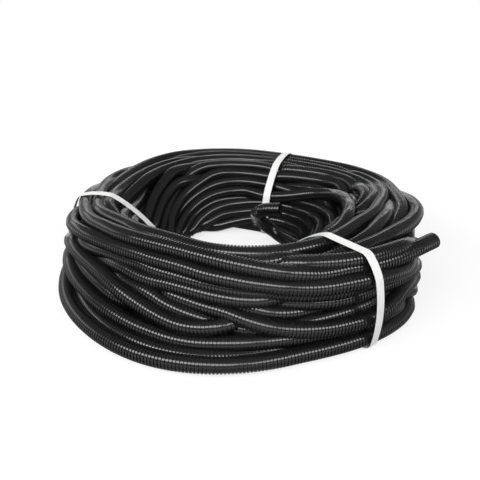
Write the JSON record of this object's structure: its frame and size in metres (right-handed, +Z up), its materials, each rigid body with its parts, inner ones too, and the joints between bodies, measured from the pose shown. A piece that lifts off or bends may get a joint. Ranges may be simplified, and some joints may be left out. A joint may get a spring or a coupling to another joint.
{
  "type": "corrugated conduit",
  "caption": "Coil of ribbed flexible cable conduit wound into a flat ring and tied with three white plastic straps.",
  "frame": {"origin": "on the floor, on the axis of the ring", "axes": "+Z up along the ring's axis, the pictured front faces -Y, +X to the right in the picture"},
  "size_m": [0.5185, 0.5174, 0.1152],
  "materials": {
    "conduit_black": "glossy black polypropylene",
    "strapping_white": "white polypropylene strapping with a fine weave emboss"
  },
  "bodies": {
    "root": {"conduit_coil": "conduit_black", "conduit_end_outer": "conduit_black", "conduit_end_inner": "conduit_black", "strap_left": "strapping_white", "strap_back": "strapping_white", "strap_front": "strapping_white"}
  },
  "joints": []
}
